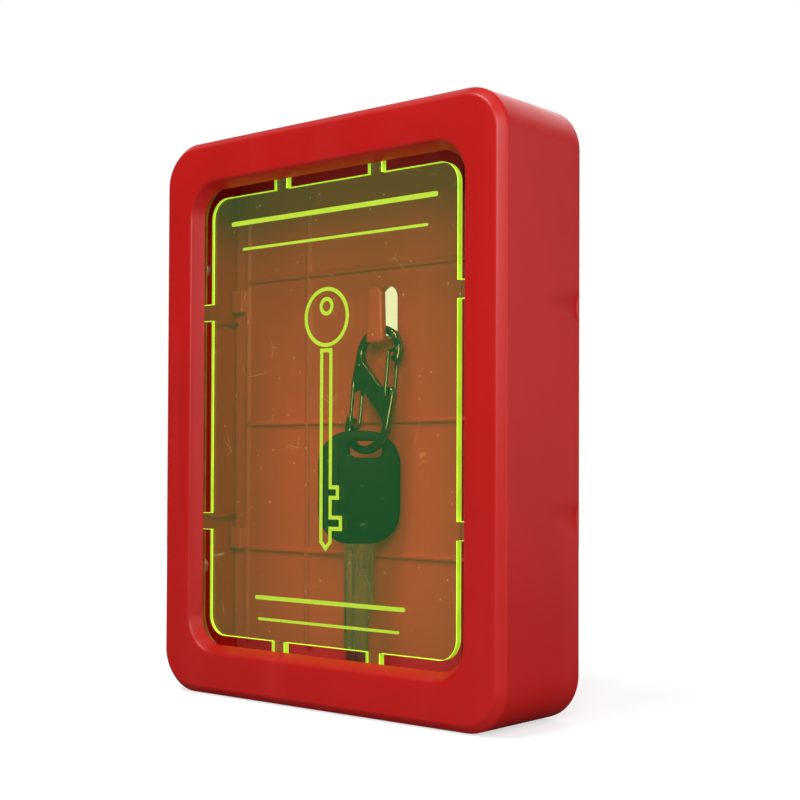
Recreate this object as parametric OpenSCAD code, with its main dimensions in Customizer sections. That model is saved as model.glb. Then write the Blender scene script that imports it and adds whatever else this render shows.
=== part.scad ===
// Break glass key box: a shallow wall box with a snap-out acrylic front, a moulded
// hook inside, and a key that hangs from the hook on a small S-shaped carabiner.
// +Z is up, the front faces -Y, and the origin is the centre of the face that
// lies against the wall. Depths are measured backwards from the front face.

/* [Box] */
// Overall width
box_w = 128; // [110:1:160]
// Overall height
box_h = 165; // [150:1:200]
// Overall depth, front face to wall
box_d = 35; // [33:0.5:45]
// Outer corner radius of the front view
corner_r = 12.5; // [8:0.5:16]
// 45 degree chamfer round the front edge
edge_chamfer = 2.2; // [1:0.1:3]
// Wall thickness of the front cover
wall_t = 2.2; // [1.8:0.1:2.6]

/* [Window] */
// Width of the border on each side of the window
border_w = 12; // [11:0.5:18]
// Height of the border above and below the window
border_h = 12.5; // [11.5:0.5:18]
// Corner radius of the window at the front face
window_r = 10.5; // [6:0.5:14]
// How far the bevel round the window closes in towards the pane
bevel_run = 2.1; // [1:0.1:3]
// Depth of the pane's seat behind the front face
pane_depth = 4; // [3.4:0.1:5]
// Width of the lip that the pane rests on
lip_w = 2.6; // [2:0.1:4]

/* [Pane] */
// Thickness of the acrylic
pane_t = 2; // [1.8:0.1:3]
// Gap between the break-out panel and the bevel's inner edge
panel_inset = 3.2; // [2:0.1:4.5]
// Vertical gap between the panel and the bevel's inner edge
panel_inset_z = 2.75; // [2:0.05:4.5]
// Width of the slots round the break-out panel
slot_w = 4.2; // [3:0.1:5]
// Corner radius of the break-out panel
panel_r = 6; // [3:0.5:8]
// Width of the tabs that hold the break-out panel
tab_w = 5; // [3:0.1:8]
// Sideways place of the tabs above and below the panel
tab_x = 18; // [10:0.5:30]
// Height of the tabs beside the panel
tab_z = 31.3; // [20:0.1:40]
// Width of the margin outside the slots
margin_w = 6; // [5.6:0.1:7]
// Height of the pane screws from mid-height
screw_z = 45; // [42:1:60]
// Shank diameter of the pane screws
screw_d = 2.6; // [2.2:0.1:3]
// Head diameter of the pane screws
screw_head_d = 5.4; // [4.6:0.1:5.6]
// Head height of the pane screws
screw_head_t = 1.8; // [1.4:0.1:2.4]

/* [Back plate] */
// Depth of the plate's front face behind the front face of the box
plate_depth = 28.9; // [28:0.1:30]
// Thickness of the plate and of its rim
plate_t = 2; // [1.6:0.1:2.4]
// Clearance between the plate and the cover's walls
plate_gap = 0.3; // [0.15:0.05:0.5]
// Height of the ribs on the plate
rib_h = 0.8; // [0.4:0.1:1]
// Width of the ribs on the plate
rib_w = 1.2; // [0.8:0.1:1.6]
// Sideways place of the inner upright ribs
rib_x_inner = 29.2; // [24:0.1:34]
// Distance of the outer upright ribs from the sides of the box
rib_edge = 8.5; // [8:0.1:10]
// Height of the upper cross rib
rib_z_top = 43.5; // [42:0.1:50]
// Height of the middle cross rib
rib_z_mid = -1.5; // [-4:0.1:0]
// Height of the lower cross rib
rib_z_low = -40.6; // [-46:0.1:-39]
// Distance of the wall screw holes from the sides of the box
wall_hole_side = 22; // [18:0.5:30]
// Distance of the wall screw holes from the top and bottom of the box
wall_hole_end = 7.5; // [7.3:0.1:9]
// Diameter of the wall screw holes
wall_hole_d = 4.2; // [3.6:0.1:4.6]

/* [Catches] */
// Height of the catch blocks from mid-height
catch_z = 37.4; // [34:0.1:38.5]
// Length of a catch block up and down
catch_len = 7; // [5:0.1:8]
// Width of a catch block
catch_w = 5.3; // [4:0.1:5.5]
// How far a catch block stands out of the plate
catch_h = 2.5; // [1.5:0.1:3]
// Height of the stop ribs inside the cover from mid-height
stop_z = 30.5; // [28:0.1:31.5]
// Height of the finger dents from mid-height
dent_z = 28; // [26:0.5:30]
// Radius of the finger dents
dent_r = 9.5; // [7:0.5:12]
// Depth of the finger dents at the wall
dent_depth = 1; // [0.5:0.1:1.2]
// Length of the finger dents
dent_len = 16; // [10:1:18]

/* [Hook] */
// Sideways place of the hook
hook_x = 2.6; // [0:0.1:6]
// Height of the underside of the hook
hook_z = 20.9; // [18:0.1:24]
// Height of the hook's tongue
tongue_h = 16.2; // [14:0.1:18]
// Width of the tongue at its foot
tongue_w = 6.2; // [5:0.1:7]
// Width of the tongue at its top
tongue_top_w = 5.4; // [4.4:0.1:6]
// Thickness of the tongue
tongue_t = 2; // [1.6:0.1:2.4]
// Gap between the tongue and the plate
hook_gap = 4.5; // [4.3:0.1:5]
// Width of the hook's root
root_w = 5.6; // [5:0.1:5.8]
// Height of the hook's root
root_h = 1.9; // [1.6:0.1:2]
// Width of the opening behind the tongue
hook_hole_w = 7; // [6.4:0.1:8]

/* [Carabiner] */
// Overall length
carabiner_l = 38; // [36:0.5:40]
// Radius of the end loops at their centre line
loop_r = 7.1; // [6.8:0.1:7.6]
// Width of the arms
arm_w = 2.4; // [2.2:0.1:2.6]
// Thickness of the body
body_t = 2.5; // [2.4:0.1:3]
// Diameter of the gate wires
wire_d = 1.1; // [0.9:0.05:1.2]
// Tilt to the side, as it hangs
hang_tilt = 4.6; // [0:0.2:8]
// Lean to the front, as it hangs
hang_lean = 10; // [8:0.5:11]

/* [Key] */
// Width of the key's head
head_w = 23.5; // [20:0.5:24]
// Height of the key's head
head_h = 32.6; // [28:0.2:34]
// Thickness of the key's head
head_t = 2.8; // [2.2:0.1:3]
// Width of the hole in the head
head_hole_w = 9.1; // [8.8:0.1:10.4]
// Height of the hole in the head
head_hole_h = 4.7; // [4.6:0.1:5.4]
// Plastic left between the hole and the top of the head
bridge_h = 3; // [2:0.1:3.4]
// How far the hole sits beside the middle of the head
hole_shift = 1.9; // [0:0.1:3]
// Turn of the key about the upright axis
key_turn = 41; // [38:1:44]
// Width of the blade's shank
shank_w = 8.4; // [7:0.1:9]
// Length of the blade's shank below the head
shank_l = 19; // [10:0.5:22]
// How much narrower the blade is than its shank
blade_step = 1.3; // [0.5:0.1:2]
// Length of the blade and its shank below the head
blade_l = 37; // [30:0.5:38]
// Thickness of the blade
blade_t = 2.2; // [1.8:0.1:2.4]

/* [Hidden] */
$fn = 96;
small_fn = 24;
eps = 0.01;

// Straight pieces are this much smaller all round than the bends that they run into
step = 0.02;

inner_w = box_w - 2 * wall_t;
inner_h = box_h - 2 * wall_t;
inner_r = corner_r - wall_t;

// Window, lip and pane
window_w = box_w - 2 * border_w;
window_h = box_h - 2 * border_h;
seat_w = window_w - 2 * bevel_run;
seat_h = window_h - 2 * bevel_run;
seat_r = window_r - bevel_run;
panel_w = seat_w - 2 * panel_inset;
panel_h = seat_h - 2 * panel_inset_z;
slots_w = panel_w + 2 * slot_w;
slots_h = panel_h + 2 * slot_w;
pane_w = slots_w + 2 * margin_w;
pane_h = slots_h + 2 * margin_w;
pane_r = panel_r + slot_w;
screw_x = slots_w / 2 + screw_head_d / 2 - 0.1;
screw_skin = 1.2;
screw_hole_clear = 0.05;
pane_hole_d = screw_d + 1.2;
boss_d = 7;
boss_hole_top = pane_depth - screw_skin;

// Back plate
plate_w = inner_w - 2 * plate_gap;
plate_h = inner_h - 2 * plate_gap;
plate_r = inner_r - plate_gap;
plate_back = plate_depth + plate_t;
rib_x_outer = box_w / 2 - rib_edge;
wall_hole_x = box_w / 2 - wall_hole_side;
wall_hole_z = box_h / 2 - wall_hole_end;
wall_boss_d = wall_hole_d + 3.6;

// Stop ribs on the inside of the cover's side walls
stop_t = 1.2;
stop_h = 1.3;
stop_len = 11;
stop_gap = 0.2;

// Hook
tongue_depth = plate_depth - hook_gap - tongue_t;
tongue_round = 0.5;
root_r = 0.9;

// Carabiner, drawn flat: x across, y along, z through its thickness
arm_round = 0.9;
loop_y = carabiner_l / 2 - loop_r - arm_w / 2;
loop_x = 0.3;
spine_x = loop_x + loop_r;
nose_x = loop_r - loop_x;
nose_len = 1.3;
shoulder_r = 2.2;
pivot_x = spine_x + arm_w / 2 - shoulder_r;
pivot_y = -1.1;
wire_gap = 0.25;
pin_clear = 0.06;
leg_z = body_t / 2 + wire_gap + wire_d / 2;
leg_l = 11.1;
gate_rest = 7.4;

// Where the upper loop's centre hangs, so that it rests on the hook's root
loop_in_r = loop_r - arm_w / 2;
hang_clear = 0.3;
hang_side = 0.2;
loop_drop = sqrt(pow(loop_in_r * cos(hang_lean) - body_t / 2 * sin(hang_lean) - root_r, 2)
                 - pow(root_w / 2 - root_r + hang_side, 2)) + root_r - hang_clear;
hang_x = hook_x - hang_side;
hang_z = hook_z + root_h - loop_drop;
hang_depth = plate_depth - hook_gap / 2 - loop_r * sin(hang_lean);

// Centre of the lower loop, found by turning the line between the two centres
link_dx = 2 * loop_x * cos(hang_tilt) - 2 * loop_y * sin(hang_tilt);
link_dl = 2 * loop_x * sin(hang_tilt) + 2 * loop_y * cos(hang_tilt);
link_x = hang_x + link_dx;
link_z = hang_z - link_dl * cos(hang_lean);
link_depth = hang_depth - link_dl * sin(hang_lean);

// Key, drawn flat with its origin at the middle of the head
head_r = 9.5;
head_edge = 0.7;
hole_r = 1.8;
hole_side = 0.1;
hole_back = 0.25;
hole_top = loop_in_r - 1.4;
hole_y = head_h / 2 - bridge_h - head_hole_h / 2;
hole_drop = hole_top + head_hole_h / 2;
key_z = link_z - hole_drop * cos(hang_lean) - hole_y;
key_x = link_x - hole_shift * cos(key_turn) + hole_side;
key_depth = link_depth - hole_drop * sin(hang_lean) - hole_shift * sin(key_turn) + hole_back;
socket_l = 9;
socket_clear = 0.05;
tip_chamfer = 2;
groove_w = 1.8;
groove_depth = 0.6;
groove_edge = 0.6;
groove_end = 8.5;
recess_w = 0.9;
recess_l = 2.8;
recess_t = 1;

// Points along an arc, from angle a to angle b
function arc(cx, cy, r, a, b, n = 8) =
    [for (i = [0 : n]) [cx + r * cos(a + (b - a) * i / n), cy + r * sin(a + (b - a) * i / n)]];

// The same outline turned half a turn about the origin
function half_turn(points) = [for (p = points) [-p[0], -p[1]]];

module rounded_rect(w, h, r) {
    square([w - 2 * r, h], center = true);
    square([w, h - 2 * r], center = true);
    for (x = [-1, 1], y = [-1, 1])
        translate([x * (w / 2 - r), y * (h / 2 - r)]) circle(r);
}

// A front-view outline as a slab that starts at a depth behind the front face
module slab(depth, t) {
    translate([0, depth + t - box_d, 0])
        rotate([90, 0, 0]) linear_extrude(height = t) children();
}

// Rounded block, base on z = 0, whose outline shrinks evenly all round towards its top
module tapered_block(w, h, r, t, shrink) {
    for (x = [-1, 1], y = [-1, 1])
        translate([x * (w / 2 - r), y * (h / 2 - r), 0]) cylinder(h = t, r1 = r, r2 = r - shrink);
    rotate([90, 0, 0]) linear_extrude(height = h - 2 * r, center = true)
        polygon([[-w / 2, 0], [w / 2, 0], [w / 2 - shrink, t], [-w / 2 + shrink, t]]);
    rotate([90, 0, 90]) linear_extrude(height = w - 2 * r, center = true)
        polygon([[-h / 2, 0], [h / 2, 0], [h / 2 - shrink, t], [-h / 2 + shrink, t]]);
}

// The same block in the front view, shrinking backwards from a depth
module tapered_slab(depth, w, h, r, t, shrink) {
    translate([0, depth - box_d, 0]) rotate([-90, 0, 0]) tapered_block(w, h, r, t, shrink);
}

// A round post or hole that runs backwards from a depth
module post(x, z, depth, length, d) {
    translate([x, depth - box_d, z]) rotate([-90, 0, 0]) cylinder(h = length, d = d);
}

// Copies a child to both sides, above and below
module on_both_sides() {
    for (side = [0, 1], level = [0, 1])
        mirror([side, 0, 0]) mirror([0, 0, level]) children();
}

// Front cover

module cover_block() {
    tapered_slab(0, box_w - 2 * edge_chamfer, box_h - 2 * edge_chamfer, corner_r - edge_chamfer,
                 edge_chamfer, -edge_chamfer);
    slab(edge_chamfer, box_d - edge_chamfer) rounded_rect(box_w, box_h, corner_r);
}

// The bevel runs on past both faces so that it cuts them cleanly
module window_bevel() {
    over = 1;
    slope = bevel_run / pane_depth;
    tapered_slab(-over, window_w + 2 * slope * over, window_h + 2 * slope * over,
                 window_r + slope * over, pane_depth + 2 * over, bevel_run + 2 * slope * over);
}

module pane_lip() {
    slab(wall_t - eps, pane_depth - wall_t + eps)
        rounded_rect(seat_w + 2 * lip_w, seat_h + 2 * lip_w, seat_r + lip_w);
}

// Rib that stops the back plate, on the inside of a side wall
module stop_rib() {
    translate([inner_w / 2 - stop_h, plate_depth - stop_gap - stop_len - box_d, stop_z - stop_t / 2])
        cube([stop_h + eps, stop_len, stop_t]);
}

// Shallow scoop that opens at the wall edge, for the fingers that pull the cover off
module finger_dent() {
    slope = atan(dent_depth / dent_len);
    translate([box_w / 2 + dent_r - dent_depth, 0, dent_z])
        rotate([90, 0, slope]) translate([0, 0, -1]) cylinder(h = dent_len + 6, r = dent_r);
}

module front_cover() {
    color("firebrick") difference() {
        union() {
            difference() {
                cover_block();
                slab(wall_t, box_d) rounded_rect(inner_w, inner_h, inner_r);
            }
            pane_lip();
            on_both_sides() post(screw_x, screw_z, wall_t - eps, pane_depth - wall_t + eps, boss_d);
            on_both_sides() stop_rib();
        }
        window_bevel();
        on_both_sides()
            post(screw_x, screw_z, screw_skin, boss_hole_top + eps, screw_d + 2 * screw_hole_clear);
        on_both_sides() finger_dent();
    }
}

// Acrylic pane with its break-out panel

module pane_slots() {
    difference() {
        rounded_rect(slots_w, slots_h, pane_r);
        rounded_rect(panel_w, panel_h, panel_r);
        for (side = [-1, 1]) {
            translate([side * tab_x, 0]) square([tab_w, slots_h + 2], center = true);
            translate([0, side * tab_z]) square([slots_w + 2, tab_w], center = true);
        }
    }
}

module break_pane() {
    color("yellowgreen", 0.6) difference() {
        slab(pane_depth, pane_t) rounded_rect(pane_w, pane_h, pane_r);
        slab(pane_depth - 1, pane_t + 2) pane_slots();
        on_both_sides() post(screw_x, screw_z, pane_depth - 1, pane_t + 2, pane_hole_d);
    }
}

// Round head of a pane screw, base on z = 0, with a cross recess
module screw_head() {
    difference() {
        rotate_extrude() intersection() {
            translate([0, screw_head_t - screw_head_d]) circle(screw_head_d);
            square([screw_head_d / 2, screw_head_t]);
        }
        for (turn = [0, 90]) rotate([0, 0, turn])
            translate([0, 0, screw_head_t]) cube([recess_l, recess_w, 2 * recess_t], center = true);
    }
}

module pane_screws() {
    shank = pane_t + boss_hole_top - screw_hole_clear;
    color("silver") on_both_sides() {
        post(screw_x, screw_z, pane_depth + pane_t - shank, shank + eps, screw_d);
        translate([screw_x, pane_depth + pane_t - box_d, screw_z]) rotate([-90, 0, 0]) screw_head();
    }
}

// Back plate with its ribs, catches, wall bosses and hook

module plate_outline(inset = 0) {
    rounded_rect(plate_w - 2 * inset, plate_h - 2 * inset, plate_r - inset);
}

module plate_ribs() {
    slab(plate_depth - rib_h, rib_h + eps) {
        for (x = [-rib_x_outer, -rib_x_inner, rib_x_inner, rib_x_outer])
            translate([x, 0]) square([rib_w, plate_h - 2 * plate_r], center = true);
        for (z = [rib_z_top, rib_z_mid, rib_z_low])
            translate([0, z]) square([2 * rib_x_outer, rib_w], center = true);
    }
}

// Block at the plate's edge with a chamfer that leads the cover on
module catch_block() {
    lead = catch_h / 3;
    translate([plate_w / 2, plate_depth - box_d, catch_z - catch_len / 2])
        linear_extrude(height = catch_len)
            polygon([[0, eps], [0, -catch_h + lead], [-lead, -catch_h], [-catch_w, -catch_h],
                     [-catch_w, eps]]);
}

// Front view of the hook's tongue, tapering up to a round top
module tongue_outline(inset = 0) {
    top_r = tongue_top_w / 2 - inset;
    foot_r = root_r;
    half = tongue_w / 2 - inset;
    polygon(concat(
        arc(half - foot_r, foot_r + inset, foot_r, -90, 0),
        arc(0, tongue_h - tongue_top_w / 2, top_r, 0, 180, 24),
        arc(-half + foot_r, foot_r + inset, foot_r, 180, 270)));
}

module hook() {
    translate([hook_x, 0, hook_z]) {
        hull() {
            slab(tongue_depth, eps) tongue_outline(tongue_round);
            slab(tongue_depth + tongue_round, tongue_t - tongue_round) tongue_outline();
        }
        slab(tongue_depth + tongue_t / 2, tongue_t / 2 + hook_gap + eps)
            translate([0, root_h / 2]) rounded_rect(root_w, root_h, root_r);
    }
}

// Opening behind the tongue, above the root, with a round top
module hook_opening() {
    bottom = hook_z + root_h + 0.6;
    top = hook_z + tongue_h + 0.8;
    translate([hook_x, 0, 0]) slab(plate_depth - 1, plate_t + 2) {
        translate([-hook_hole_w / 2, bottom]) square([hook_hole_w, top - hook_hole_w / 2 - bottom]);
        translate([0, top - hook_hole_w / 2]) circle(d = hook_hole_w);
    }
}

module wall_hole() {
    post(wall_hole_x, wall_hole_z, plate_depth - 1, box_d, wall_hole_d);
}

module back_plate() {
    color("firebrick") {
        difference() {
            union() {
                slab(plate_depth, plate_t) plate_outline();
                slab(plate_back - eps, box_d - plate_back + eps) difference() {
                    plate_outline();
                    plate_outline(plate_t);
                }
                on_both_sides()
                    post(wall_hole_x, wall_hole_z, plate_back - eps,
                         box_d - plate_back + eps, wall_boss_d);
                plate_ribs();
                on_both_sides() catch_block();
            }
            hook_opening();
            on_both_sides() wall_hole();
        }
        hook();
    }
}

// Carabiner

module arm_section(inset = 0) {
    $fn = small_fn;
    rounded_rect(arm_w - 2 * inset, body_t - 2 * inset, arm_round - inset);
}

// Flat disc with a rounded rim, which ends an arm or a shoulder
module round_end(r) {
    rotate_extrude($fn = 72) intersection() {
        translate([r - arm_w / 2, 0]) union() {
            arm_section();
            translate([-r, -body_t / 2]) square([r, body_t]);
        }
        translate([0, -body_t]) square([r + 1, 2 * body_t]);
    }
}

// Straight arm that runs down from a place on the end of a loop
module straight_arm(x, end_y) {
    translate([x, loop_y + step, 0])
        rotate([90, 0, 0]) linear_extrude(height = loop_y + step - end_y) arm_section(step);
}

// One loop of the S: spine, round end and nose with its inward knob
module carabiner_loop() {
    nose_y = loop_y - nose_len;
    translate([-loop_x, loop_y, 0])
        rotate_extrude(angle = 180, $fn = 72) translate([loop_r, 0]) arm_section();
    straight_arm(-spine_x, -pivot_y);
    translate([-pivot_x, -pivot_y, 0]) round_end(shoulder_r);
    straight_arm(nose_x, nose_y);
    translate([nose_x, nose_y, 0]) round_end(arm_w / 2);
    translate([nose_x - arm_w / 2, nose_y + 0.1, 0])
        cylinder(h = body_t - 1.4, d = arm_w - 0.6, center = true, $fn = small_fn);
}

// Half of the web's outline; the other half is the same, turned half a turn
module carabiner_web() {
    inner = spine_x - arm_w / 2;
    shoulder_y = pivot_y + shoulder_r - 0.15;
    fillet_r = 2.6;
    half = concat(
        [[-spine_x, loop_y - 1]],
        arc(-inner + fillet_r, loop_y - 1, fillet_r, 180, 229, 6),
        [[1.7, 1.85]],
        [[3.1, shoulder_y]],
        [[pivot_x, shoulder_y]],
        [[spine_x, pivot_y]]);
    linear_extrude(height = body_t - 0.2, center = true) polygon(concat(half, half_turn(half)));
}

module gate_pivots(d) {
    for (turn = [0, 180])
        rotate([0, 0, turn]) translate([pivot_x, pivot_y, 0])
            cylinder(h = 2 * body_t, d = d, center = true);
}

// Wire gate: two legs, a round closed end and two short pins that turn in the body
module wire_gate() {
    $fn = small_fn;
    thin_d = wire_d - 2 * step;
    translate([pivot_x, pivot_y, 0]) rotate([0, 0, gate_rest]) {
        for (side = [-1, 1]) translate([0, 0, side * leg_z]) {
            rotate([-90, 0, 0]) cylinder(h = leg_l + step, d = thin_d);
            sphere(d = wire_d);
        }
        for (side = [0, 1]) mirror([0, 0, side])
            translate([0, 0, wire_d / 2]) cylinder(h = leg_z - wire_d / 2, d = thin_d);
        translate([0, leg_l, 0]) rotate([0, 90, 0])
            rotate_extrude(angle = 180, $fn = 48) translate([leg_z, 0])
                circle(d = wire_d, $fn = small_fn);
    }
}

// Puts the flat drawing of the carabiner on the hook
module hang_carabiner() {
    translate([hang_x, hang_depth - box_d, hang_z])
        rotate([-hang_lean, 0, 0]) rotate([90, 0, 0]) rotate([0, 0, -hang_tilt])
            translate([loop_x, -loop_y, 0]) children();
}

module carabiner_body() {
    color("dimgray") hang_carabiner() difference() {
        union() {
            for (turn = [0, 180]) rotate([0, 0, turn]) carabiner_loop();
            carabiner_web();
        }
        gate_pivots(wire_d + 2 * pin_clear);
    }
}

module upper_gate() {
    color("gray") hang_carabiner() wire_gate();
}

module lower_gate() {
    color("gray") hang_carabiner() rotate([0, 0, 180]) wire_gate();
}

// Key

module hang_key() {
    translate([key_x, key_depth - box_d, key_z])
        rotate([0, 0, key_turn]) rotate([90, 0, 0]) children();
}

// Pocket in the head for the tang of the blade
module blade_socket() {
    w = shank_w + 2 * socket_clear;
    t = blade_t + 2 * socket_clear;
    translate([-w / 2, -head_h / 2 - 1, -t / 2]) cube([w, socket_l + socket_clear + 1, t]);
}

module key_head() {
    flat_t = head_t - 2 * head_edge;
    color("black") hang_key() difference() {
        union() {
            linear_extrude(height = flat_t, center = true) rounded_rect(head_w, head_h, head_r);
            for (side = [0, 1]) mirror([0, 0, side]) translate([0, 0, flat_t / 2])
                tapered_block(head_w, head_h, head_r, head_edge, head_edge);
        }
        translate([hole_shift, hole_y, 0]) linear_extrude(height = 2 * head_t, center = true)
            rounded_rect(head_hole_w, head_hole_h, hole_r);
        blade_socket();
    }
}

// Outline of the blade: a straight back edge, and a step where the shank narrows
module blade_outline() {
    tip = -head_h / 2 - blade_l;
    step_y = -head_h / 2 - shank_l;
    back = -shank_w / 2;
    front = shank_w / 2 - blade_step;
    polygon([[back, -head_h / 2 + socket_l], [shank_w / 2, -head_h / 2 + socket_l],
             [shank_w / 2, step_y], [front, step_y - blade_step / 2], [front, tip + tip_chamfer],
             [front - tip_chamfer, tip], [back + tip_chamfer, tip], [back, tip + tip_chamfer]]);
}

// Blade with a milled groove along the back edge of each face
module key_blade() {
    groove_x = -shank_w / 2 + groove_edge + groove_w / 2;
    groove_y = -head_h / 2 - blade_l + groove_end;
    color("silver") hang_key() difference() {
        linear_extrude(height = blade_t, center = true) blade_outline();
        for (face = [0, 1]) mirror([0, 0, face])
            translate([groove_x, groove_y, blade_t / 2 - groove_depth]) {
                cylinder(h = groove_depth + 1, d = groove_w);
                translate([-groove_w / 2, 0, 0])
                    cube([groove_w, blade_l - groove_end - 1, groove_depth + 1]);
            }
    }
}

front_cover();
break_pane();
pane_screws();
back_plate();
carabiner_body();
upper_gate();
lower_gate();
key_head();
key_blade();
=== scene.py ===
"""Looks of a break glass key box: glossy red plastic, a fluorescent acrylic pane and a key.

Lengths are written in millimetres, as on a drawing, and turned into metres when a mesh is made.
Floor, lamps, camera and textures are in metres. +Z is up, the front faces -Y and the wall face
lies in y = 0. Depths are measured from the front face towards the wall.
"""

import math

import bmesh
import bpy
from mathutils import Matrix, Vector
from mathutils.geometry import tessellate_polygon


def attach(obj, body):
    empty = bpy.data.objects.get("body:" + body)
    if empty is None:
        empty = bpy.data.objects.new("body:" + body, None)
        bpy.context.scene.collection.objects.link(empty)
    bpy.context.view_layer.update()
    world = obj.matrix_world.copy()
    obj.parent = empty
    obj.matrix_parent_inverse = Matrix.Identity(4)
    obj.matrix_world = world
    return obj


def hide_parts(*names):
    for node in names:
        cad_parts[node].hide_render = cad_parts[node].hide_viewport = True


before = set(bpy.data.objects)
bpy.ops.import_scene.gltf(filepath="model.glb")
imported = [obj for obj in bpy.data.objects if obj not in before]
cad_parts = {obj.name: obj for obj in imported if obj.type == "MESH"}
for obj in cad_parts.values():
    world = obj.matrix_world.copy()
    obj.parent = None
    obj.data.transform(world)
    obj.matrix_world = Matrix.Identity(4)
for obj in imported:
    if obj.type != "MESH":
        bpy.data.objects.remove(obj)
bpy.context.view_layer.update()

MM = 0.001

# In metres: how close two points are merged, and how close a point counts as in a plane
MERGED, SAME_PLANE = 1e-7, 1e-6

# Front cover; SEAT is the window where the pane lies, LIP the ledge round it, and SOFT says how
# far an edge is rounded over
BOX_W, BOX_H, BOX_D = 128.0, 165.0, 35.0
CORNER_R = 12.5
EDGE_CHAMFER = 2.2
WALL = 2.2
WINDOW_W, WINDOW_H, WINDOW_R = 104.0, 140.0, 10.5
SEAT_W, SEAT_H, SEAT_R = 99.8, 135.8, 8.4
LIP = 2.6
REAR_SOFT, OUTER_SOFT, WINDOW_SOFT = 0.35, 0.55, 0.7
SEAT_SOFT, LIP_SOFT, INNER_SOFT = 0.12, 0.2, 0.5
LONGEST_STEP = 1.6

# Finger dents, which scoop every point of the side walls that is within SKIN of the outside
DENT_Z, DENT_R, DENT_DEPTH, DENT_LEN = 28.0, 9.5, 1.0, 16.0
SKIN = 0.05

# Ribs that stop the back plate, and how far one form is sunk into the next
STOP_Z, STOP_T, STOP_H = 30.5, 1.2, 1.3
STOP_FRONT, STOP_REAR = 17.7, 28.7
SUNK = 0.3

# Pane, with its slots between SLOTS and PANEL, and a plain key and rules engraved on it
PANE_DEPTH, PANE_T = 4.0, 2.0
PANE_W, PANE_H, PANE_R = 113.8, 150.7, 10.2
PANE_EDGE = 0.1
SLOTS_W, SLOTS_H, SLOTS_R = 101.8, 138.7, 10.2
PANEL_W, PANEL_H, PANEL_R = 93.4, 130.3, 6.0
TAB_W, TAB_X, TAB_Z = 5.0, 18.0, 31.3
MARGIN_SLACK = 0.3
SCREW_X, SCREW_Z, SCREW_HOLE_R = 53.5, 45.0, 1.9
MARK_T, MARK_PROUD, MARK_EDGE, MARK_LINE = 0.3, 0.03, 0.02, 1.1
MARK_X = 0.4
BOW_Z, BOW_R = 27.0, 8.4
EYE_Z, EYE_R = 30.0, 2.6
SHAFT_HALF, SHAFT_TOP = 2.3, 18.2

# Screw boss as (radius, depth): its foot, its rim, and the hole down to its pointed end
BOSS = ((2.3, WALL - SUNK), (2.5, PANE_DEPTH - 0.2), (2.4, PANE_DEPTH),
        (1.35, PANE_DEPTH), (1.35, 1.3), (0.01, 1.2))

# Engraved rules as (left, right, bottom, top)
RULES = ((-38.2, 40.1, 56.2, 57.6), (-33.4, 36.8, 48.7, 49.5),
         (-27.4, 29.4, -53.4, -52.2), (-26.1, 27.4, -59.4, -58.6))

# Key head: place is (x, depth, z), hole is (x, y, width, height) from the head's middle
KEY_PLACE = (-0.0521, 19.5186, -20.7476)
KEY_TURN = 41.0
HEAD_W, HEAD_H, HEAD_T, HEAD_R = 23.5, 32.6, 2.8, 9.5
HEAD_EDGE = 0.85
HEAD_HOLE = (1.9, 10.95, 9.1, 4.7)
HOLE_R = 1.8

# Studio, in metres: the way to its white far side, how bright the dim room on the near side and
# the even light are, and the floor
FAR_SIDE = (-0.645, 0.764, 0.0)
ROOM, AMBIENT = 0.05, 0.28
FLOOR_GREYS = ((0.44, 0.44, 0.44), (0.48, 0.48, 0.48))
FLOOR_R = 0.8
FLOOR_GAP = 0.0002

# Lamps as (name, place, size, watts); all of them point at the origin
LAMPS = (("top_light", (-0.18, -0.80, 1.40), (0.6, 0.6), 16.0),
         ("right_light", (0.66, -0.84, 0.44), (0.5, 0.5), 7.8),
         ("back_light", (-0.35, 1.15, 0.75), (1.7, 1.7), 9.0),
         ("side_light", (1.2, -0.12, 0.15), (0.4, 0.8), 3.2),
         ("rim_light", (0.95, 0.80, 0.10), (0.5, 0.9), 1.4))

# Camera: place in metres, turns in degrees, lens and sensor in millimetres
CAMERA_PLACE = (0.2726, -0.3225, -0.0145)
CAMERA_YAW, CAMERA_PITCH, CAMERA_ROLL = 40.15, 1.0, 0.24
LENS, SENSOR = 64.26, 36.0
SHIFT_X, SHIFT_Y = 0.00275, 0.0511


# Meshes

def row_point(x, depth, z):
    """A place given by its depth behind the front face, in the row frame, in metres."""
    return Vector((x * MM, (depth - BOX_D) * MM, z * MM))


def piece_from(name, points, faces, body, smooth=True):
    """A new mesh piece that rides on a body."""
    mesh = bpy.data.meshes.new(name)
    mesh.from_pydata(points, [], faces)
    work = bmesh.new()
    work.from_mesh(mesh)
    bmesh.ops.remove_doubles(work, verts=work.verts, dist=MERGED)
    bmesh.ops.recalc_face_normals(work, faces=work.faces)
    work.to_mesh(mesh)
    work.free()
    for face in mesh.polygons:
        face.use_smooth = smooth
    piece = bpy.data.objects.new(name, mesh)
    bpy.context.scene.collection.objects.link(piece)
    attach(piece, body)
    return piece


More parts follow.
